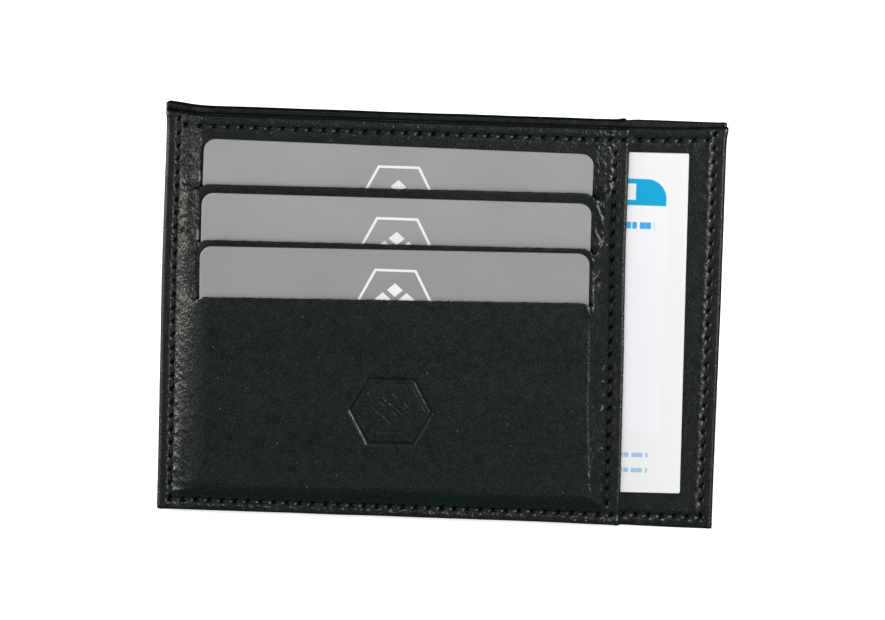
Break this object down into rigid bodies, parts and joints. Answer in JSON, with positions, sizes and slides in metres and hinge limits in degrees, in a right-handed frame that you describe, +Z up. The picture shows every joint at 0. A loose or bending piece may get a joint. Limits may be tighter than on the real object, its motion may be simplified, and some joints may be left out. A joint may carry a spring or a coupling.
{
  "type": "card holder",
  "caption": "Flat leather card holder with stepped card slots, a sideways document pocket, an open-topped note compartment and a matching rear panel, shown holding cards.",
  "frame": {"origin": "centre of the bounding box's bottom face, so the holder stands on its lower edge at z = 0", "axes": "+X to the right as seen from the front, +Z up, the front with the cards faces -Y"},
  "size_m": [0.122, 0.011, 0.0898],
  "materials": {
    "leather": "satin",
    "board": "matte",
    "lining": "matte",
    "thread": "satin",
    "card": "satin",
    "document": "satin"
  },
  "bodies": {
    "holder": {"front_panel": "leather", "front_base_wall": "leather", "rear_base_wall": "leather", "rear_panel": "leather", "front_panel_board": "board", "front_base_board": "board", "rear_base_board": "board", "rear_panel_board": "board", "front_panel_backing": "lining", "front_divider_middle": "lining", "front_divider_lower": "lining", "front_note_lining": "lining", "rear_note_lining": "lining", "rear_panel_backing": "lining", "rear_divider_middle": "lining", "rear_divider_lower": "lining", "perimeter_seam": "thread", "front_top_seam": "thread", "rear_top_seam": "thread", "front_edge_seam": "thread", "rear_edge_seam": "thread"},
    "upper_card": {"upper_card": "card"},
    "middle_card": {"middle_card": "card"},
    "lower_card": {"lower_card": "card"},
    "document_card": {"document_card": "document"}
  },
  "joints": [
    {"name": "upper_card_slide", "type": "slide", "parent": "holder", "child": "upper_card", "axis": [0, -0.0113, 0.9999], "range_m": [0, 0.062]},
    {"name": "middle_card_slide", "type": "slide", "parent": "holder", "child": "middle_card", "axis": [0, -0.0227, 0.9997], "range_m": [0, 0.074]},
    {"name": "lower_card_slide", "type": "slide", "parent": "holder", "child": "lower_card", "axis": [0, -0.0343, 0.9994], "range_m": [0, 0.085]},
    {"name": "document_card_slide", "type": "slide", "parent": "holder", "child": "document_card", "axis": [1, 0, 0], "range_m": [-0.005, 0.115]}
  ]
}
